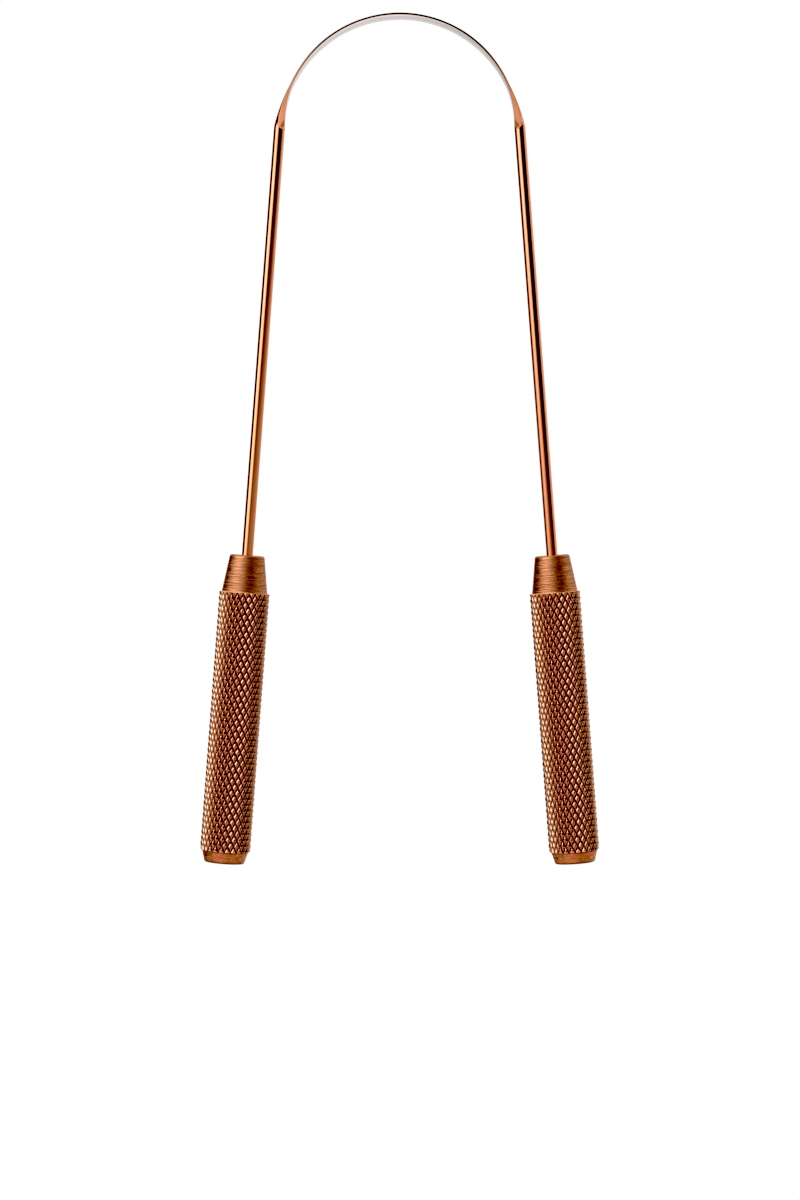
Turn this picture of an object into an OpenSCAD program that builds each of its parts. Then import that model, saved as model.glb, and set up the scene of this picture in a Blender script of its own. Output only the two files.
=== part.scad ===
// Tongue scraper: one bent wire frame with a flattened scraping bow, and two knurled handles
// that its legs are fixed in. It lies flat: +Z up, +Y from the handles to the bow, and the
// origin is under the middle of its outline, on the surface that the handles lie on.
// Lengths are in millimetres and angles in degrees.

/* [Wire frame] */
// Diameter of the round wire
wire_d = 1.8; // [1.4:0.1:2.4]
// Radius of the bow, at the middle of the wire
bow_radius = 19.8; // [16:0.1:25]
// Angle that each leg splays outwards
leg_splay = 4.3; // [1:0.05:8]
// Length of each straight leg that shows between the bow and its handle
leg_length = 70.85; // [50:0.05:90]
// Length of each leg that is held inside its handle
tang_length = 24; // [12:0.5:32]
// Chamfer on the tip of each tang
tang_tip_chamfer = 0.2; // [0.1:0.05:0.4]

/* [Scraping blade] */
// Width of the flattened bow, from one scraping edge to the other
blade_width = 7; // [5:0.1:9]
// Thickness of the flattened bow
blade_thickness = 0.35; // [0.25:0.05:0.6]
// Rounding along the scraping edges
blade_edge_r = 0.1; // [0.05:0.01:0.12]
// Distance that the blade lies inside the middle of the wire
blade_inset = 0.3; // [0:0.05:0.4]

/* [Flare from wire to blade] */
// Length of straight leg that the flare starts on
flare_lead = 0.2; // [0.1:0.1:2]
// How much lower the flare starts on the wire's inner side than at its middle
flare_slant = 0.45; // [0.1:0.05:0.8]
// Length over which the wire's inner side gets its flat faces
facing_length = 2.2; // [1.5:0.1:5]
// Length over which the rounding on its outer side shrinks to the blade's
rounding_length = 7; // [4:0.1:10]
// Length over which the wire thins to the blade
thinning_length = 7.4; // [5:0.1:11]
// Length over which the wire widens to the blade
widening_length = 17.5; // [15:0.1:22]

/* [Handles] */
// Diameter over the crests of the knurl
handle_d = 8.3; // [6:0.1:11]
// Length of the knurled grip
grip_length = 42.3; // [30:0.05:55]
// Length of the cone at the leg's end of the handle
cone_length = 6.15; // [4:0.05:9]
// Diameter of the cone's top
cone_top_d = 5.65; // [4:0.05:6]
// Step from the crests of the knurl in to the foot of the cone
shoulder_step = 0.4; // [0.4:0.05:0.7]
// Small break round the cone's top
cone_edge_break = 0.2; // [0.1:0.05:0.3]
// Length of the plain chamfer at the free end, below the knurl
end_chamfer_length = 1.8; // [1:0.05:3]
// Diameter of the free end, before its edge is rounded
end_face_d = 6.5; // [5:0.05:7]
// Rounding round the free end
end_edge_r = 0.3; // [0.1:0.05:0.5]

/* [Knurl] */
// Depth from the crests of the diamonds to the valleys
knurl_depth = 0.35; // [0.2:0.05:0.4]
// Width of one diamond round the handle
diamond_width = 1.09; // [1:0.01:1.4]
// Length of one diamond along the handle
diamond_length = 1.92; // [1.7:0.01:2.6]

/* [Leg in handle] */
// Gap round the tang that the retaining film fills
bond_gap = 0.02; // [0.01:0.005:0.05]
// Empty length of bore below the tip of the tang
bore_spare = 0.5; // [0.2:0.1:1.5]
// Chamfer at the mouth of the bore
mouth_chamfer = 0.15; // [0.05:0.05:0.3]

/* [Hidden] */
$fn = 96;
copper = [0.80, 0.46, 0.29];
brushed_copper = [0.70, 0.40, 0.23];

wire_r = wire_d / 2;
handle_r = handle_d / 2;
end_face_r = end_face_d / 2;
// Below the grip, a steep chamfer cuts the crests off, to a little below the valleys. The plain
// chamfer starts there.
valley_bite = knurl_depth / 7;
crest_chamfer_length = knurl_depth + valley_bite;
collar_r = handle_r - crest_chamfer_length;
handle_length = cone_length + grip_length + crest_chamfer_length + end_chamfer_length;
end_chamfer_angle = atan((collar_r - end_face_r) / end_chamfer_length);
end_disc_r = end_face_r - end_edge_r * tan((90 - end_chamfer_angle) / 2);

// The leg meets the bow where the bow's own direction is the leg's.
bow_end = bow_radius * [cos(leg_splay), sin(leg_splay)];
leg_way = [sin(leg_splay), -cos(leg_splay)];
handle_top = bow_end + leg_length * leg_way;
handle_foot = handle_top + handle_length * leg_way;

// The outline runs from the blade's outer face to the lowest corner of the handles' ends.
outline_top = bow_radius - blade_inset + blade_thickness / 2;
outline_foot = handle_foot[1] - end_disc_r * sin(leg_splay);
bow_y = -(outline_top + outline_foot) / 2;
axis_z = handle_r;

// Points on each rounded corner of the wire's section, and the sections along the flare.
corner_points = 6;
corner_step = 90 / corner_points;
section_points = 4 * corner_points;
flare_sections = 24;
foot_sections = 3;
// The sections lie closer together where the flare begins.
crowding = 1.4;
// How steeply the faces form and the wire thins and widens at the start of the flare.
facing_power = 3;
rounding_power = 2;
thinning_power = 1.35;
widening_power = 1.7;
// The flare's skin lies this far inside the wire and the blade, and runs this far into them.
seam_inset = blade_edge_r / 10;
seam_overlap = blade_edge_r;
// The flare starts across the wire on a slant, so its lowest point is this far down the leg.
flare_foot = flare_lead + flare_slant;

// The bar is knurled past both ends of the grip, before the lathe cuts the cone and the chamfer.
// The grip starts part of the way between two levels of diamonds, as a real one does.
diamonds_round = round(PI * handle_d / diamond_width);
diamonds_along = round(grip_length / diamond_length);
level_step = grip_length / diamonds_along / 2;
lead_levels = 0.84;
knurl_start = cone_length - lead_levels * level_step;
knurl_levels = 1 + floor((handle_length - knurl_start) / level_step);
knurl_ring = 2 * diamonds_round;
knurl_turn = 360 / knurl_ring;
bore_r = wire_r + bond_gap;
bore_depth = tang_length + bore_spare;
// A twist drill leaves a cone of 118 degrees at the bottom of a bore.
drill_tip_length = bore_r / tan(118 / 2);
// How far a cutting shape runs past what it cuts.
overrun = wire_r;

// A section of the wire: a rectangle of half thickness a and half width b, whose corners have one
// radius on the bow's outer side and another on its inner side. With all four alike it is round.
function section(a, b, outer_r, inner_r) = [
    for (corner = [0 : 3])
        let (side = [[1, 1], [-1, 1], [-1, -1], [1, -1]][corner],
             r = min(a, side[0] > 0 ? outer_r : inner_r))
        for (i = [0 : corner_points - 1])
            let (turn = 90 * corner + corner_step * (i + 0.5))
            [side[0] * (a - r) + r * cos(turn), side[1] * (b - r) + r * sin(turn)]
];

// The share of a change that is still to come at distance s, over a given length.
function to_come(s, length, power) = pow(max(0, min(1, 1 - s / length)), power);

// Half the height of the flare's skin at distance s along it.
function half_height(s) =
    blade_width / 2 - (blade_width / 2 - wire_r) * to_come(s, widening_length, widening_power) - seam_inset;

// The wire's section at distance s along the flare, moved in towards the blade's place. Its inner
// side is ahead of its outer side, because the flare starts on a slant.
function flare_section(s) =
    let (thinning = to_come(s, thinning_length, thinning_power),
         a = blade_thickness / 2 + (wire_r - blade_thickness / 2) * thinning - seam_inset,
         b = half_height(s),
         round_part = wire_r - blade_edge_r,
         outer_r = blade_edge_r + round_part * to_come(s, rounding_length, rounding_power),
         inner_r = blade_edge_r + round_part * to_come(s, facing_length, facing_power))
    [for (p = section(a, b, outer_r, inner_r))
        let (lift = half_height(s - flare_slant * p[0] / wire_r) - b)
        [p[0] - blade_inset * (1 - thinning), p[1] + sign(p[1]) * lift]];

// The angle on the bow at distance s along the flare, and the place of a point of its section.
function flare_angle(s) = leg_splay + max(0, s - flare_lead) / bow_radius * 180 / PI;
function flare_point(s, p) =
    let (angle = flare_angle(s), along = max(0, flare_lead - s), reach = bow_radius + p[0])
    [reach * cos(angle) + along * leg_way[0], reach * sin(angle) + along * leg_way[1], p[1]];

// Faces of a closed skin over rings of n points each, all wound alike.
function skin_faces(rings, n) = concat(
    [[for (i = [0 : n - 1]) i]],
    [for (j = [0 : rings - 2]) for (i = [0 : n - 1])
        [j * n + i, (j + 1) * n + i, j * n + (i + 1) % n]],
    [for (j = [0 : rings - 2]) for (i = [0 : n - 1])
        [j * n + (i + 1) % n, (j + 1) * n + i, (j + 1) * n + (i + 1) % n]],
    [[for (i = [0 : n - 1]) (rings - 1) * n + n - 1 - i]]
);

// Puts a shape that is drawn down its own Z axis on a leg's line, from the end of the bow.
module on_leg(side) {
    translate([side * bow_end[0], bow_y + bow_end[1], axis_z])
        rotate([90, 0, side * leg_splay])
            children();
}

// The straight round wire of a leg, with the tang that goes into the handle.
module leg() {
    tip = leg_length + tang_length;
    rotate_extrude()
        polygon([
            [0, flare_foot], [wire_r, flare_foot], [wire_r, tip - tang_tip_chamfer],
            [wire_r - tang_tip_chamfer, tip], [0, tip]
        ]);
}

// The stretch where the wire is pressed from round to flat, as a loft along its own line.
module flare() {
    stations = [
        widening_length + seam_overlap,
        for (i = [flare_sections - 1 : -1 : 1]) widening_length * pow(i / flare_sections, crowding),
        for (i = [0 : foot_sections]) -flare_slant * i / foot_sections,
        -flare_slant - seam_overlap
    ];
    skin = [for (s = stations) for (p = flare_section(s)) flare_point(s, p)];
    polyhedron(points = skin, faces = skin_faces(len(stations), section_points));
}

// The flat strip across the top of the bow.
module blade() {
    start = flare_angle(widening_length);
    rotate([0, 0, start])
        rotate_extrude(angle = 180 - 2 * start, $fn = 4 * $fn)
            translate([bow_radius - blade_inset, 0])
                polygon(section(blade_thickness / 2, blade_width / 2, blade_edge_r, blade_edge_r));
}

// The whole frame is one length of wire.
module wire_frame() {
    color(copper)
        union() {
            translate([0, bow_y, axis_z]) {
                blade();
                flare();
                mirror([1, 0, 0]) flare();
            }
            on_leg(1) leg();
            on_leg(-1) leg();
        }
}

// The knurled bar: crests and valleys take turns round each level and swap at the next,
// so that each crest stands in a diamond of four valleys.
module knurled_bar() {
    skin = [
        for (j = [0 : knurl_levels]) for (i = [0 : knurl_ring - 1])
            let (r = (i + j) % 2 == 0 ? handle_r : handle_r - knurl_depth,
                 turn = 270 + knurl_turn * i)
            [r * cos(turn), r * sin(turn), knurl_start + level_step * j]
    ];
    rings = knurl_levels + 1;
    polyhedron(points = skin, faces = skin_faces(rings, knurl_ring));
}

// What the lathe leaves of the bar below the cone, with both chamfers and the rounded free end.
module turned_grip() {
    collar_z = handle_length - end_chamfer_length;
    spare = crest_chamfer_length + overrun;
    rotate_extrude()
        polygon([
            [0, cone_length], [collar_r + spare, cone_length], [collar_r + spare, collar_z - spare],
            [collar_r, collar_z],
            for (i = [0 : corner_points])
                let (turn = end_chamfer_angle + (90 - end_chamfer_angle) * i / corner_points)
                [end_disc_r, handle_length - end_edge_r] + end_edge_r * [cos(turn), sin(turn)],
            [0, handle_length]
        ]);
}

// The turned cone that the leg goes into.
module cone() {
    foot_r = handle_r - shoulder_step;
    top_r = cone_top_d / 2;
    slope = (foot_r - top_r) / cone_length;
    rotate_extrude()
        polygon([
            [0, 0], [top_r - cone_edge_break, 0], [top_r + slope * cone_edge_break, cone_edge_break],
            [foot_r, cone_length], [foot_r - overrun, cone_length + overrun],
            [0, cone_length + overrun]
        ]);
}

// The blind bore that holds the tang.
module bore() {
    rotate_extrude()
        polygon([
            [0, -overrun], [bore_r + mouth_chamfer + overrun, -overrun],
            [bore_r, mouth_chamfer], [bore_r, bore_depth], [0, bore_depth + drill_tip_length]
        ]);
}

// One handle is turned from one knurled bar.
module handle() {
    color(brushed_copper)
        difference() {
            union() {
                intersection() {
                    knurled_bar();
                    turned_grip();
                }
                cone();
            }
            bore();
        }
}

module left_handle() {
    on_leg(-1) translate([0, 0, leg_length]) handle();
}

module right_handle() {
    on_leg(1) translate([0, 0, leg_length]) handle();
}

wire_frame();
left_handle();
right_handle();
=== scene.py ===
from math import atan2, cos, floor, pi, radians, sin, tan

import bmesh
import bpy
from mathutils import Matrix, Vector


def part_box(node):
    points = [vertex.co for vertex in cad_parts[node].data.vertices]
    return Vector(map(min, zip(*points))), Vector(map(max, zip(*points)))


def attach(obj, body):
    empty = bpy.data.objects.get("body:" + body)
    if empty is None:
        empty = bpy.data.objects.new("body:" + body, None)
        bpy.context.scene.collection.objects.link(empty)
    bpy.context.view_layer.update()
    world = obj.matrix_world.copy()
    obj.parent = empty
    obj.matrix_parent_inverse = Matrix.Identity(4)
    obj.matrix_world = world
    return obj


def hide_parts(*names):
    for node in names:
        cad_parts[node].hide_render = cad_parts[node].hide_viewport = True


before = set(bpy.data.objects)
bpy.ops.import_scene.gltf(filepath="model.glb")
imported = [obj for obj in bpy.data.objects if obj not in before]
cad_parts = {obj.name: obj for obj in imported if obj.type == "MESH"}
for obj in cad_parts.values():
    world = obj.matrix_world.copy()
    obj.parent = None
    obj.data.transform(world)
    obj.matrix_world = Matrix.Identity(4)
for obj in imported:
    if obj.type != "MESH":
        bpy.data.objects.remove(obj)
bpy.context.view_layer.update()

# The view: the scraper lies flat, and the camera looks straight down on it, as in the photograph.
# The lens's axis meets the picture well above its middle, so the lens is shifted.
MM = 0.001
photo_width_px = 800
photo_height_px = 1200
pixel_size = 0.16445 * MM
lens_axis_px = (399.7, 504)
bow_centre_px = (399.7, 134.8)
camera_distance_px = 3900
camera_distance = camera_distance_px * pixel_size
film_height = 36
axis_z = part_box("right_handle")[1].z / 2
outline_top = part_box("wire_frame")[1].y
blade_outer_r = 19.675 * MM
bow_y = outline_top - blade_outer_r
view_y = bow_y - (lens_axis_px[1] - bow_centre_px[1]) * pixel_size

camera = bpy.data.objects.new("camera", bpy.data.cameras.new("camera"))
bpy.context.scene.collection.objects.link(camera)
camera.location = (0, view_y, axis_z + camera_distance)
camera.data.sensor_fit = "VERTICAL"
camera.data.sensor_height = film_height
camera.data.sensor_width = film_height
camera.data.lens = film_height * camera_distance / (photo_height_px * pixel_size)
camera.data.shift_x = (photo_width_px / 2 - lens_axis_px[0]) / photo_height_px
camera.data.shift_y = (lens_axis_px[1] - photo_height_px / 2) / photo_height_px
camera.data.clip_start = 0.01
bpy.context.scene.camera = camera


# The studio: a white sweep to lie on, strong soft light from the left, a dimmer card to the right,
# and a dark gap between them, which draws the black stripe down each polished leg. The raised
# black level keeps the dark reflections as deep as in the photograph.
class Term:
    """A socket of a node tree, on which sums are written as Python expressions."""

    def __init__(self, tree, socket):
        self.tree = tree
        self.socket = socket

    def node(self, kind, settings, sockets, out=0):
        """Adds a node of this kind, with its settings first, then the values or links of its sockets."""
        made = self.tree.nodes.new(kind)
        for name, setting in settings.items():
            if name == "stops":
                for position, colour in setting[2:]:
                    made.color_ramp.elements.new(position)
                for stop, (position, colour) in zip(made.color_ramp.elements, sorted(setting)):
                    stop.position = position
                    stop.color = colour if isinstance(colour, tuple) else (colour, colour, colour, 1)
            else:
                setattr(made, name, setting)
        for key, value in sockets.items():
            if isinstance(value, Term):
                self.tree.links.new(value.socket, made.inputs[key])
            else:
                made.inputs[key].default_value = value
        return Term(self.tree, made.outputs[out]) if len(made.outputs) else made

    def outputs(self):
        """The terms of all the outputs of this term's node."""
        return [Term(self.tree, socket) for socket in self.socket.node.outputs]

    def sum(self, operation, *terms):
        """Adds a Math node of this operation on these terms and numbers."""
        return self.node("ShaderNodeMath", {"operation": operation}, dict(enumerate(terms)))

    def __add__(self, other):
        return self.sum("ADD", self, other)

    def __sub__(self, other):
        return self.sum("SUBTRACT", self, other)

    def __rsub__(self, other):
        return self.sum("SUBTRACT", other, self)

    def __mul__(self, other):
        return self.sum("MULTIPLY", self, other)

    def __truediv__(self, other):
        return self.sum("DIVIDE", self, other)

    def __pow__(self, other):
        return self.sum("POWER", self, other)

    __radd__ = __add__
    __rmul__ = __mul__


black_level = 0.07
grade = bpy.context.scene.view_settings
grade.view_transform = "Standard"
grade.use_curve_mapping = True
grade.curve_mapping.black_level = (black_level, black_level, black_level)
grade.curve_mapping.update()

# Rings of light round the room's long axis, one after another from the handles' end to beyond the
# bow. Each gives its brightness by the angle from straight up, in degrees, positive to the right.
front_levels = {-180: 0.9, -110: 1.1, 0: 1.2, 110: 0.9, 180: 0.9}
nearest_levels = {
    -180: 0.6, -150: 0.75, -110: 0.75, -85: 0.5, -56: 0.38, -20: 0.35,
    0: 0.35, 40: 0.35, 67: 0.38, 96: 0.42, 136: 0.5, 180: 0.6,
}
nearer_levels = {
    -180: 0.8, -155: 0.2, -106: 0.12, -94: 0.15, -82: 0.35, -62: 1.0, -42: 1.1, -26: 0.86,
    -12: 0.8, 26: 0.82, 38: 0.66, 67: 0.78, 90: 0.98, 110: 1.0, 136: 0.85, 180: 0.8,
}
beside_levels = {
    -180: 0.8, -150: 0.3, -112: 0.1, -98: 0.12, -84: 0.55, -70: 1.1, -48: 1.0,
    -26: 0.64, -6: 0.46, 62: 0.46, 78: 0.5, 104: 0.62, 136: 0.64, 180: 0.8,
}
beyond_levels = {
    -180: 0.8, -150: 0.2, -112: 0.03, -92: 0.03, -84: 0.2, -76: 1.0, -67: 2.0, -54: 2.3, -40: 2.1,
    -28: 1.4, -14: 0.45, -4: 0.07, 58: 0.04, 70: 0.18, 81: 0.55, 98: 0.88, 136: 0.85, 180: 0.8,
}
farthest_levels = {
    -180: 0.08, -130: 0.3, -112: 2.6, -90: 3.4, -60: 3.0, -34: 2.7, -16: 1.6,
    0: 0.5, 14: 0.1, 50: 0.1, 70: 0.9, 96: 2.0, 136: 1.5, 180: 0.08,
}
world = bpy.data.worlds.new("studio")
bpy.context.scene.world = world
world.use_nodes = True
world.node_tree.nodes.clear()
air = Term(world.node_tree, None)
way_out = air.node("ShaderNodeTexCoord", {}, {})
across, beyond, upwards = air.node("ShaderNodeSeparateXYZ", {}, {0: way_out}).outputs()
sweep = air.sum("ARCTAN2", across, upwards) / (2 * pi) + 0.5


def ring_of_light(levels):
    """A ring's brightness in each direction round the room's long axis."""
    stops = [(0.5 + angle / 360, level) for angle, level in levels.items()]
    return air.node("ShaderNodeValToRGB", {"stops": stops}, {"Fac": sweep})


def ramp(value, start, end):
    """A smooth change from 0 to 1 as the value goes from start to end."""
    return value.node("ShaderNodeMapRange", {"interpolation_type": "SMOOTHSTEP"},
                      {"Value": value, "From Min": start, "From Max": end})


# Each ring takes over between two places on the way from the handles' end of the room, -1, to the
# bow's end, 1.
lights = ring_of_light(front_levels)
for levels, start, end in ((nearest_levels, -0.85, -0.7), (nearer_levels, -0.48, -0.34),
                           (beside_levels, -0.13, -0.09), (beyond_levels, -0.07, 0.05),
                           (farthest_levels, 0.34, 0.52)):
    lights = air.node("ShaderNodeMix", {"data_type": "RGBA"},
                      {0: ramp(beyond, start, end), 6: lights, 7: ring_of_light(levels)}, 2)
seen_directly = air.node("ShaderNodeLightPath", {}, {})
glow = air.node("ShaderNodeMix", {"data_type": "RGBA"}, {0: seen_directly, 6: lights, 7: (1, 1, 1, 1)}, 2)
room = air.node("ShaderNodeBackground", {}, {"Color": glow, "Strength": 1.0})
air.node("ShaderNodeOutputWorld", {}, {"Surface": room})

floor_half = 1.5
sheet = bpy.data.meshes.new("floor")
sheet.from_pydata([(-floor_half, -floor_half, 0), (floor_half, -floor_half, 0),
                   (floor_half, floor_half, 0), (-floor_half, floor_half, 0)], [], [(0, 1, 2, 3)])
floor_sheet = bpy.data.objects.new("floor", sheet)
bpy.context.scene.collection.objects.link(floor_sheet)
white = bpy.data.materials.new("white_sweep")
white.use_nodes = True
white.node_tree.nodes.clear()
paint = Term(white.node_tree, None)
lit = paint.node("ShaderNodeEmission", {}, {"Color": (1, 1, 1, 1), "Strength": 1.0})
paint.node("ShaderNodeOutputMaterial", {}, {"Surface": lit})
sheet.materials.append(white)
floor_sheet.visible_glossy = False


# The wire frame: one length of copper wire, its middle pressed flat into the scraping bow and its
# ends left round, down to the tangs that are held in the handles.
wire_r = 0.9 * MM
bow_radius = 19.8 * MM
leg_splay = radians(4.3)
leg_length = 70.85 * MM
tang_length = 24 * MM
tang_chamfer = 0.2 * MM
blade_half_width = 3.5 * MM
blade_half_thickness = 0.175 * MM
blade_edge_r = 0.1 * MM
blade_inset = 0.3 * MM
flare_lead = 0.2 * MM
flare_slant = 0.45 * MM
facing_length = 2.2 * MM
rounding_length = 7 * MM
shoulder_length = 6.5 * MM
thinning_length = 7.4 * MM
widening_length = 17.5 * MM
thinning_power = 1.35
facing_power = 3
rounding_power = 2
widening_power = 1.7
shoulder_start = 0.86
shoulder_end = 0.92
half_bow = bow_radius * (pi / 2 - leg_splay)
half_wire = half_bow + leg_length + tang_length
wire_step = 0.2 * MM
round_points = 40
wire_sharp_angle = radians(40)


def new_tree(name, numbers):
    """A Geometry Nodes tree with named number inputs, and the terms that read them."""
    tree = bpy.data.node_groups.new(name, "GeometryNodeTree")
    tree.interface.new_socket("Geometry", in_out="OUTPUT", socket_type="NodeSocketGeometry")
    for key, value in numbers.items():
        kind = "NodeSocketInt" if isinstance(value, int) else "NodeSocketFloat"
        tree.interface.new_socket(key, in_out="INPUT", socket_type=kind)
    entry = tree.nodes.new("NodeGroupInput")
    return tree, {key: Term(tree, entry.outputs[key]) for key in numbers}


def grow(name, tree, numbers):
    """Runs a tree on an empty mesh and keeps the result as a plain mesh object."""
    seed = bpy.data.objects.new(name + "_seed", bpy.data.meshes.new(name + "_seed"))
    bpy.context.scene.collection.objects.link(seed)
    modifier = seed.modifiers.new("build", "NODES")
    modifier.node_group = tree
    for item in tree.interface.items_tree:
        if item.in_out == "INPUT" and item.name in numbers:
            modifier[item.identifier] = numbers[item.name]
    bpy.context.view_layer.update()
    evaluated = seed.evaluated_get(bpy.context.evaluated_depsgraph_get())
    mesh = bpy.data.meshes.new_from_object(evaluated)
    mesh.name = name
    bpy.data.objects.remove(seed)
    grown = bpy.data.objects.new(name, mesh)
    bpy.context.scene.collection.objects.link(grown)
    return grown


def point_outwards(mesh, same_point=0.001 * MM):
    """Merges doubles and turns every face of a closed mesh outwards."""
    skin = bmesh.new()
    skin.from_mesh(mesh)
    bmesh.ops.remove_doubles(skin, verts=skin.verts, dist=same_point)
    bmesh.ops.recalc_face_normals(skin, faces=skin.faces)
    if skin.calc_volume(signed=True) < 0:
        bmesh.ops.reverse_faces(skin, faces=skin.faces)
    skin.to_mesh(mesh)
    skin.free()


wire_numbers = {
    "Wire Radius": wire_r, "Bow Radius": bow_radius, "Half Bow": half_bow, "Half Wire": half_wire,
    "Tang Chamfer": tang_chamfer, "Blade Half Width": blade_half_width,
    "Blade Half Thickness": blade_half_thickness, "Blade Edge Radius": blade_edge_r,
    "Blade Inset": blade_inset, "Flare Lead": flare_lead, "Flare Slant": flare_slant,
    "Facing Length": facing_length, "Rounding Length": rounding_length, "Shoulder Length": shoulder_length,
    "Thinning Length": thinning_length, "Widening Length": widening_length,
    "Bow Height": bow_y, "Axis Height": axis_z, "Stations": round(2 * half_wire / wire_step) + 1,
}
wire_tree, given = new_tree("pressed_wire", wire_numbers)
geo = given["Wire Radius"]

# A straight tube, whose points know their distance from the crown and their turn round the wire.
index = geo.node("GeometryNodeInputIndex", {}, {})
line = geo.node("GeometryNodeCurvePrimitiveLine", {}, {"End": (0, 0, 1)})
line = geo.node("GeometryNodeResampleCurve", {}, {"Curve": line, "Count": given["Stations"]})
along = (index / (given["Stations"] - 1) * 2 - 1) * given["Half Wire"]
line = geo.node("GeometryNodeStoreNamedAttribute", {"data_type": "FLOAT", "domain": "POINT"},
                {"Geometry": line, "Name": "along", "Value": along})
ring = geo.node("GeometryNodeCurvePrimitiveCircle", {"mode": "RADIUS"},
                {"Resolution": round_points, "Radius": wire_r})
ring = geo.node("GeometryNodeStoreNamedAttribute", {"data_type": "FLOAT", "domain": "POINT"},
                {"Geometry": ring, "Name": "around", "Value": (index + 0.5) * (2 * pi / round_points)})
tube = geo.node("GeometryNodeCurveToMesh", {}, {"Curve": line, "Profile Curve": ring, "Fill Caps": True})
place_on_wire = geo.node("GeometryNodeInputNamedAttribute", {"data_type": "FLOAT"}, {"Name": "along"})
turn = geo.node("GeometryNodeInputNamedAttribute", {"data_type": "FLOAT"}, {"Name": "around"})
out_from_crown = geo.sum("ABSOLUTE", place_on_wire)
side = geo.sum("SIGN", place_on_wire)


def to_come(distance, length, power):
    """The share of a change that is still to come at this distance along the flare."""
    share = geo.node("ShaderNodeClamp", {}, {"Value": 1 - distance / length})
    return share ** power


# The section: round down the leg, then thinner, wider and squarer through the flare. The press
# leaves a round shoulder on the outer side of the flare's foot.
pressed = given["Half Bow"] + given["Flare Lead"] - out_from_crown
thinning = to_come(pressed, given["Thinning Length"], thinning_power)
facing = to_come(pressed, given["Facing Length"], facing_power)
rounding = to_come(pressed, given["Rounding Length"], rounding_power)
tip = given["Half Wire"] - out_from_crown + given["Wire Radius"] - given["Tang Chamfer"]
spare_thickness = given["Wire Radius"] - given["Blade Half Thickness"]
half_thick = given["Blade Half Thickness"] + spare_thickness * thinning
half_thick = geo.sum("MINIMUM", half_thick, tip)
cos_turn = geo.sum("COSINE", turn)
sin_turn = geo.sum("SINE", turn)
on_outer_side = geo.sum("GREATER_THAN", cos_turn, 0.0)
round_share = facing + (rounding - facing) * on_outer_side
corner = given["Blade Edge Radius"] + (given["Wire Radius"] - given["Blade Edge Radius"]) * round_share
corner = geo.sum("MINIMUM", corner, half_thick)
off_middle = geo.sum("SIGN", cos_turn) * (half_thick - corner) + corner * cos_turn
outward = off_middle - given["Blade Inset"] * (1 - thinning)
slanted = pressed - given["Flare Slant"] * off_middle / given["Wire Radius"]
widening = to_come(slanted, given["Widening Length"], widening_power)
half_wide = given["Blade Half Width"] - (given["Blade Half Width"] - given["Wire Radius"]) * widening
low_side = on_outer_side * (1 - ramp(geo.sum("ABSOLUTE", sin_turn), shoulder_start, shoulder_end))
left_round = low_side * (1 - ramp(pressed, 0.0, given["Shoulder Length"]))
half_wide = half_wide - (half_wide - given["Wire Radius"]) * left_round
half_wide = geo.sum("MINIMUM", half_wide, tip)
upward = geo.sum("SIGN", sin_turn) * (half_wide - corner) + corner * sin_turn

# The section's place: round the bow, and then straight down the leg into the handle.
bend = geo.sum("MINIMUM", out_from_crown, given["Half Bow"]) / given["Bow Radius"]
straight = geo.sum("MAXIMUM", out_from_crown - given["Half Bow"], 0)
reach = given["Bow Radius"] + outward
across = side * (geo.sum("SINE", bend) * reach + geo.sum("COSINE", bend) * straight)
lengthwise = given["Bow Height"] + geo.sum("COSINE", bend) * reach - geo.sum("SINE", bend) * straight
place = geo.node("ShaderNodeCombineXYZ", {}, {0: across, 1: lengthwise, 2: given["Axis Height"] + upward})
drawn = geo.node("ShaderNodeCombineXYZ", {}, {0: cos_turn, 1: sin_turn, 2: place_on_wire})
tube = geo.node("GeometryNodeStoreNamedAttribute", {"data_type": "FLOAT_VECTOR", "domain": "POINT"},
                {"Geometry": tube, "Name": "drawn_place", "Value": drawn})
tube = geo.node("GeometryNodeSetPosition", {}, {"Geometry": tube, "Position": place})
tube = geo.node("GeometryNodeRealizeInstances", {}, {"Geometry": tube})

# The finish: bright drawn copper, tarnished in patches by handling and darker towards the handles,
# with a painted pale reflection on the bow's inside, a paler painted highlight towards its top, and
# a painted dark reflection on its thin outer rim.
draw_marks_across = 9
draw_mark_length = 7 * MM
draw_mark_depth = 0.01 * MM
hand_marks_across = 1.2
hand_mark_length = 5 * MM
bright_copper = (0.93, 0.405, 0.24, 1)
darker_copper = (0.78, 0.31, 0.16, 1)
painted_pale_reflection = (0.63, 0.49, 0.465, 1)
painted_top_highlight = (1.0, 0.9, 0.87, 1)
painted_dark_rim = (0.21, 0.17, 0.155, 1)
polished = bpy.data.materials.new("polished_copper")
polished.use_nodes = True
polished.node_tree.nodes.clear()
finish = Term(polished.node_tree, None)


def mix(share, first, second):
    """The colour that lies this share of the way from the first to the second."""
    return share.node("ShaderNodeMix", {"data_type": "RGBA"}, {0: share, 6: first, 7: second}, 2)


def noise(term, x, y, z, detail=2.0):
    """Noise from 0 to 1 over a place that is given in patches of noise."""
    place = term.node("ShaderNodeCombineXYZ", {}, {0: x, 1: y, 2: z})
    return term.node("ShaderNodeTexNoise", {}, {"Vector": place, "Scale": 1.0, "Detail": detail})


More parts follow.
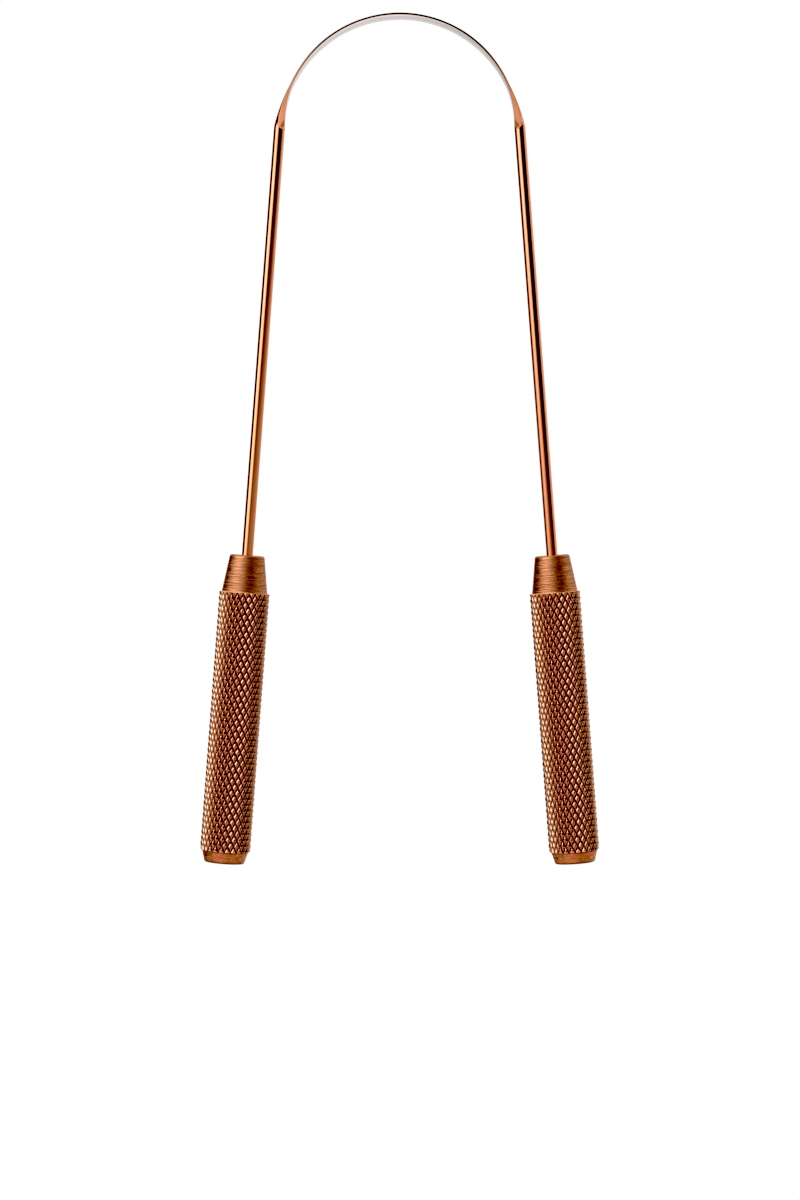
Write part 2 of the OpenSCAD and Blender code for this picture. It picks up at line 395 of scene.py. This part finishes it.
drawn_place = finish.node("ShaderNodeAttribute", {"attribute_name": "drawn_place"}, {}, 1)
out_side, up_side, down_wire = finish.node("ShaderNodeSeparateXYZ", {}, {0: drawn_place}).outputs()
draw_marks = noise(finish, out_side * draw_marks_across, up_side * draw_marks_across,
                   down_wire / draw_mark_length, 3.0)
handling = noise(finish, out_side * hand_marks_across, up_side * hand_marks_across,
                 down_wire / hand_mark_length)
from_crown = finish.sum("ABSOLUTE", down_wire)
near_handle = ramp(from_crown, half_bow + leg_length * 0.25, half_bow + leg_length)
on_blade = ramp(from_crown, half_bow, half_bow - widening_length)
scraping_face = ramp(out_side, -0.5, -0.95) * on_blade
outer_rim = ramp(out_side, -0.6, -0.3) * ramp(finish.sum("ABSOLUTE", up_side), 0.1, 0.5) * on_blade
# Tarnish in patches from handling, and the colour made darker towards the handles.
tarnish_and_darkening = ramp(handling, 0.42, 0.7) * 0.35 + near_handle * 0.3
# The bow's inside gets a painted pale reflection, and towards its top a paler painted highlight.
painted_blade_reflection = mix(ramp(up_side, 0.015, 0.06), painted_pale_reflection, painted_top_highlight)
copper = mix(scraping_face, mix(tarnish_and_darkening, bright_copper, darker_copper), painted_blade_reflection)
# The bow's thin outer rim gets a painted dark reflection.
copper = mix(outer_rim, copper, painted_dark_rim)
gloss = 0.03 + draw_marks * 0.08 * (1 - on_blade) + tarnish_and_darkening * 0.12
marks = finish.node("ShaderNodeBump", {"invert": False}, {
    "Strength": 0.25, "Distance": draw_mark_depth, "Height": draw_marks * (1 - on_blade)})
metal = finish.node("ShaderNodeBsdfPrincipled", {}, {
    "Base Color": copper, "Metallic": 1.0, "Roughness": gloss, "Normal": marks})
finish.node("ShaderNodeOutputMaterial", {}, {"Surface": metal})

tube = geo.node("GeometryNodeSetMaterial", {}, {"Geometry": tube, "Material": polished})
geo.node("NodeGroupOutput", {}, {0: tube})
wire = grow("pressed_wire", wire_tree, wire_numbers)
point_outwards(wire.data)
wire.data.shade_smooth()
wire.data.set_sharp_from_angle(angle=wire_sharp_angle)
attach(wire, "root")
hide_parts("wire_frame")


# The handles: each is turned from a bar of copper that was knurled first. The lathe then cuts the
# cone, the long chamfer and the end face, and a drill opens the bore that the tang goes into.
handle_r = 4.15 * MM
knurl_depth = 0.35 * MM
diamonds_round = 24
diamonds_along = 22
cone_length = 6.15 * MM
cone_top_r = 2.825 * MM
cone_foot_r = 3.75 * MM
cone_edge_break = 0.2 * MM
grip_length = 42.3 * MM
valley_bite = 0.05 * MM
end_chamfer_length = 1.8 * MM
end_face_r = 3.25 * MM
end_edge_r = 0.3 * MM
diamond_length = grip_length / diamonds_along
bore_r = 0.92 * MM
bore_depth = 24.5 * MM
mouth_chamfer = 0.15 * MM
drill_point_angle = radians(118)
diamond_cells = 6
crest_power = 1.6
lead_levels = 0.84
crest_chamfer = knurl_depth + valley_bite
collar_r = handle_r - crest_chamfer
handle_length = cone_length + grip_length + crest_chamfer + end_chamfer_length
end_chamfer_angle = atan2(collar_r - end_face_r, end_chamfer_length)
end_disc_r = end_face_r - end_edge_r * tan((pi / 2 - end_chamfer_angle) / 2)
level_step = diamond_length / 2
spare_levels = 2
levels_above = 2 * (floor(cone_length / level_step / 2) + 1)
bar_start = cone_length - (levels_above + lead_levels) * level_step
bar_levels = floor((handle_length - bar_start) / level_step) + spare_levels
knurl_sharp_angle = radians(28)
sewing_distance = 0.002 * MM

knurl_numbers = {
    "Crest Radius": handle_r, "Depth": knurl_depth, "Diamond Length": diamond_length,
    "Bar Start": bar_start, "Diamonds Round": diamonds_round, "Levels": bar_levels,
}
knurl_tree, given = new_tree("knurl", knurl_numbers)
geo = given["Depth"]

# One diamond: a square grid turned on its corner and bent round the bar, with a crest in its middle.
index = geo.node("GeometryNodeInputIndex", {}, {})
cell = geo.node("GeometryNodeMeshGrid", {}, {
    "Size X": 1.0, "Size Y": 1.0, "Vertices X": diamond_cells + 1, "Vertices Y": diamond_cells + 1})
spot = geo.node("GeometryNodeInputPosition", {}, {})
u, v, _ = geo.node("ShaderNodeSeparateXYZ", {}, {0: spot}).outputs()
rim = geo.sum("MAXIMUM", geo.sum("ABSOLUTE", u), geo.sum("ABSOLUTE", v)) * 2
height = 1 - geo.sum("MINIMUM", rim, 1) ** crest_power
radius = given["Crest Radius"] - given["Depth"] * (1 - height)
swing = (u - v) / 2 * (2 * pi) / given["Diamonds Round"]
down_bar = (u + v) / 2 * given["Diamond Length"]
cell_place = geo.node("ShaderNodeCombineXYZ", {}, {
    0: radius * geo.sum("COSINE", swing), 1: radius * geo.sum("SINE", swing), 2: down_bar})
cell = geo.node("GeometryNodeSetPosition", {}, {"Geometry": cell, "Position": cell_place})

# The diamonds stand in levels round the bar, and every other level is turned by half a diamond.
diamonds = given["Diamonds Round"] * given["Levels"]
spots = geo.node("GeometryNodeMeshLine", {"mode": "OFFSET"}, {"Count": diamonds})
level = geo.sum("FLOOR", index / given["Diamonds Round"])
column = index - level * given["Diamonds Round"]
odd = geo.sum("MODULO", level, 2)
spin = (column + odd / 2) * (2 * pi) / given["Diamonds Round"] - pi / 2
level_place = given["Bar Start"] + level * given["Diamond Length"] / 2
on_axis = geo.node("ShaderNodeCombineXYZ", {}, {2: level_place})
spots = geo.node("GeometryNodeSetPosition", {}, {"Geometry": spots, "Position": on_axis})
turned_by = geo.node("ShaderNodeCombineXYZ", {}, {2: spin})
skin = geo.node("GeometryNodeInstanceOnPoints", {}, {
    "Points": spots, "Instance": cell, "Rotation": turned_by})
skin = geo.node("GeometryNodeRealizeInstances", {}, {"Geometry": skin})

# The finish: brown copper with the lathe's fine marks on the cone and the end, worn bright on the
# diamonds' sides, dull on their crests and dark in the valleys with patina and painted shade, and a
# thin painted highlight round the cone's foot.
tool_mark_pitch = 0.22 * MM
tool_mark_depth = 0.13 * MM
stain_size = 1.3 * MM
scuff_width = 0.35 * MM
scuff_length = 0.6 * MM
edge_start = 0.4 * MM
edge_full = 0.1 * MM
# The width of the painted highlight line round the cone's foot.
foot_line_width = 0.08 * MM
foot_line_gloss = 0.6
turned_copper = (0.49, 0.225, 0.128, 1)
stained_copper = (0.31, 0.13, 0.075, 1)
side_copper = (0.84, 0.475, 0.325, 1)
crest_copper = (0.53, 0.29, 0.205, 1)
worn_crest = (0.45, 0.235, 0.155, 1)
valley_patina_and_shade = (0.23, 0.085, 0.05, 1)
painted_foot_highlight = (0.93, 0.53, 0.33, 1)
chamfer_copper = (0.74, 0.26, 0.15, 1)
chamfer_stain = (0.53, 0.25, 0.13, 1)
scuffed_copper = (0.88, 0.45, 0.19, 1)
edge_patina = (0.20, 0.09, 0.06, 1)
turned = bpy.data.materials.new("turned_copper")
turned.use_nodes = True
turned.node_tree.nodes.clear()
finish = Term(turned.node_tree, None)
lathe_place = finish.node("ShaderNodeAttribute", {"attribute_name": "lathe_place"}, {}, 1)
x, y, down_handle = finish.node("ShaderNodeSeparateXYZ", {}, {0: lathe_place}).outputs()
off_axis = (x * x + y * y) ** 0.5
tool_marks = noise(finish, x / off_axis, y / off_axis, (down_handle + off_axis) / tool_mark_pitch, 3.0)
stains = noise(finish, x / stain_size, y / stain_size, down_handle / stain_size, 3.0)
scuffs = noise(finish, x / scuff_width, y / scuff_width, down_handle / scuff_length, 1.0)
grip_end = handle_length - end_chamfer_length
past_cone = finish.sum("GREATER_THAN", down_handle, cone_length)
on_grip = past_cone * finish.sum("LESS_THAN", down_handle, grip_end)
on_chamfer = finish.sum("GREATER_THAN", down_handle, grip_end)
at_edge = ramp(down_handle, handle_length - edge_start, handle_length - edge_full)
at_edge = at_edge * finish.sum("GREATER_THAN", off_axis, end_disc_r)
from_foot = finish.sum("ABSOLUTE", down_handle - cone_length + foot_line_width / 2)
on_painted_foot_line = finish.sum("LESS_THAN", from_foot, foot_line_width)
depth = (handle_r - off_axis) / knurl_depth
in_valley = ramp(depth, 0.5, 0.85)
on_side = ramp(depth, 0.2, 0.5)
smooth_part = mix(ramp(tool_marks, 0.48, 0.68) * 0.75, turned_copper, stained_copper)
chamfer = mix(ramp(stains, 0.4, 0.62), chamfer_copper, chamfer_stain)
chamfer = mix(ramp(scuffs, 0.55, 0.7) * 0.7, chamfer, scuffed_copper)
chamfer = mix(at_edge, chamfer, edge_patina)
smooth_part = mix(on_chamfer, smooth_part, chamfer)
crest = mix(ramp(stains, 0.35, 0.7), crest_copper, worn_crest)
crest = mix(on_side, crest, side_copper)
# The valleys are darkened with patina and painted shade.
copper = mix(on_grip, smooth_part, mix(in_valley, crest, valley_patina_and_shade))
# A thin painted highlight round the cone's foot, where the knurl starts.
copper = mix(on_painted_foot_line, copper, painted_foot_highlight)
smooth_gloss = 0.40 + (tool_marks - 0.5) * 0.9
grip_gloss = 0.3 - on_side * 0.1 + in_valley * 0.25
gloss = smooth_gloss + (grip_gloss - smooth_gloss) * on_grip
gloss = gloss + (foot_line_gloss - gloss) * on_painted_foot_line
marks = finish.node("ShaderNodeBump", {"invert": False}, {
    "Strength": 1.0, "Distance": tool_mark_depth, "Height": tool_marks * (1 - on_grip)})
metal = finish.node("ShaderNodeBsdfPrincipled", {}, {
    "Base Color": copper, "Metallic": 1.0, "Roughness": gloss, "Normal": marks})
finish.node("ShaderNodeOutputMaterial", {}, {"Surface": metal})
skin = geo.node("GeometryNodeSetMaterial", {}, {"Geometry": skin, "Material": turned})
geo.node("NodeGroupOutput", {}, {0: skin})
bar = grow("knurled_bar", knurl_tree, knurl_numbers)

# The knurled skin is sewn together and closed at both ends, so that the lathe has a solid to cut.
closing = bmesh.new()
closing.from_mesh(bar.data)
bmesh.ops.remove_doubles(closing, verts=closing.verts, dist=sewing_distance)
rims = [e for e in closing.edges if e.is_boundary]
for low_end in (True, False):
    here = [e for e in rims if (e.verts[0].co.z < cone_length) == low_end]
    level_z = (min if low_end else max)(v.co.z for e in here for v in e.verts)
    centre = closing.verts.new((0, 0, level_z))
    for edge in here:
        loop = edge.link_loops[0]
        closing.faces.new((centre, loop.link_loop_next.vert, loop.vert))
bmesh.ops.recalc_face_normals(closing, faces=closing.faces)
closing.to_mesh(bar.data)
closing.free()

# What the lathe and the drill leave, as one closed profile: from the bore's mouth down the cone, the
# grip and the chamfer to the end face, and back up the bore from its point.
edge_steps = 8
clear_of_bar = crest_chamfer + 1 * MM
profile = [
    (bore_r + mouth_chamfer, 0), (cone_top_r - cone_edge_break, 0),
    (cone_top_r + cone_edge_break * (cone_foot_r - cone_top_r) / cone_length, cone_edge_break),
    (cone_foot_r, cone_length), (collar_r + clear_of_bar, cone_length),
    (collar_r + clear_of_bar, handle_length - end_chamfer_length - clear_of_bar),
    (collar_r, handle_length - end_chamfer_length),
    *((end_disc_r + end_edge_r * cos(turn), handle_length - end_edge_r + end_edge_r * sin(turn))
      for turn in (end_chamfer_angle + (pi / 2 - end_chamfer_angle) * i / edge_steps
                   for i in range(edge_steps + 1))),
    (0, handle_length), (0, bore_depth + bore_r / tan(drill_point_angle / 2)), (bore_r, bore_depth),
    (bore_r, mouth_chamfer),
]
lathe_steps = 192
lathe = bmesh.new()
rings = []
for r, z in profile:
    if r == 0:
        rings.append([lathe.verts.new((0, 0, z))])
    else:
        turns = [2 * pi * i / lathe_steps for i in range(lathe_steps)]
        rings.append([lathe.verts.new((r * cos(turn), r * sin(turn), z)) for turn in turns])
for first, second in zip(rings, rings[1:] + rings[:1]):
    if len(first) == 1 and len(second) == 1:
        continue
    for i in range(lathe_steps):
        j = (i + 1) % lathe_steps
        corners = ([first[0]] if len(first) == 1 else [first[i], first[j]])
        corners += ([second[0]] if len(second) == 1 else [second[j], second[i]])
        lathe.faces.new(corners)
bmesh.ops.recalc_face_normals(lathe, faces=lathe.faces)
lathe_mesh = bpy.data.meshes.new("lathe_cut")
lathe.to_mesh(lathe_mesh)
lathe.free()
lathe_mesh.materials.append(turned)
lathe_cut = bpy.data.objects.new("lathe_cut", lathe_mesh)
bpy.context.scene.collection.objects.link(lathe_cut)
cut = bar.modifiers.new("cut", "BOOLEAN")
cut.operation = "INTERSECT"
cut.solver = "MANIFOLD"
cut.object = lathe_cut
bpy.context.view_layer.update()
handle_mesh = bpy.data.meshes.new_from_object(bar.evaluated_get(bpy.context.evaluated_depsgraph_get()))

# The finish reads each point's place on the bar, which is stored before the handle is put in place.
places = handle_mesh.attributes.new("lathe_place", "FLOAT_VECTOR", "POINT")
places.data.foreach_set("vector", [value for v in handle_mesh.vertices for value in v.co])
bpy.data.objects.remove(bar)
bpy.data.objects.remove(lathe_cut)

# Each handle sits on the end of its leg, in line with it.
way = Vector((sin(leg_splay), -cos(leg_splay), 0))
bow_end = Vector((bow_radius * cos(leg_splay), bow_y + bow_radius * sin(leg_splay), axis_z))
for side_name, hand in (("left", -1), ("right", 1)):
    mesh = handle_mesh.copy()
    top = bow_end + way * leg_length
    place = (Matrix.Translation((hand * top.x, top.y, top.z)) @ Matrix.Rotation(hand * leg_splay, 4, "Z")
             @ Matrix.Rotation(pi / 2, 4, "X"))
    mesh.transform(place)
    mesh.name = "knurled_handle_" + side_name
    handle = bpy.data.objects.new("knurled_handle_" + side_name, mesh)
    bpy.context.scene.collection.objects.link(handle)
    point_outwards(mesh)
    mesh.shade_smooth()
    mesh.set_sharp_from_angle(angle=knurl_sharp_angle)
    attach(handle, "root")
    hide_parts(side_name + "_handle")
